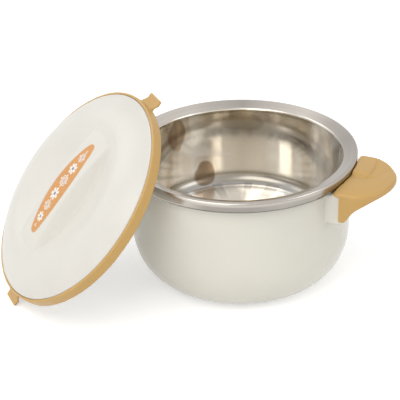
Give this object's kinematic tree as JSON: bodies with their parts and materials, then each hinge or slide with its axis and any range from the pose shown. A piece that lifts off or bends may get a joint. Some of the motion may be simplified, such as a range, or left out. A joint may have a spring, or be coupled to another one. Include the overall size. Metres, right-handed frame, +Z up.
{
  "type": "insulated chapati casserole",
  "caption": "Round insulated serving pot with a steel bowl and ear handles, its loose domed lid with a grip bar leaning against the rim.",
  "frame": {"origin": "middle of the pot's flat base, on the table", "axes": "+Z up along the pot's axis, X through both handles, the lid leaning on the -X -Y side"},
  "size_m": [0.3505, 0.2826, 0.1713],
  "materials": {
    "cream_plastic": "smooth satin",
    "lid_cream": "smooth satin",
    "mustard_plastic": "smooth satin",
    "bowl_steel": "polished inside, spun",
    "screw_steel": "zinc plated",
    "foam": "matt",
    "insert_print": "printed, glossy"
  },
  "bodies": {
    "pot": {"outer_shell": "cream_plastic", "inner_bowl": "bowl_steel", "body_foam": "foam", "base_cover": "cream_plastic", "base_plug": "cream_plastic", "handle_right": "mustard_plastic", "handle_left": "mustard_plastic", "handle_screws": "screw_steel"},
    "lid": {"lid_ring": "mustard_plastic", "lid_cover": "lid_cream", "lid_liner": "lid_cream", "lid_foam": "foam", "grip_insert": "insert_print"}
  },
  "joints": [
    {"name": "lid_lift", "type": "slide", "parent": "pot", "child": "lid", "axis": [0, 0, 1], "range_m": [0, 0.13]}
  ]
}
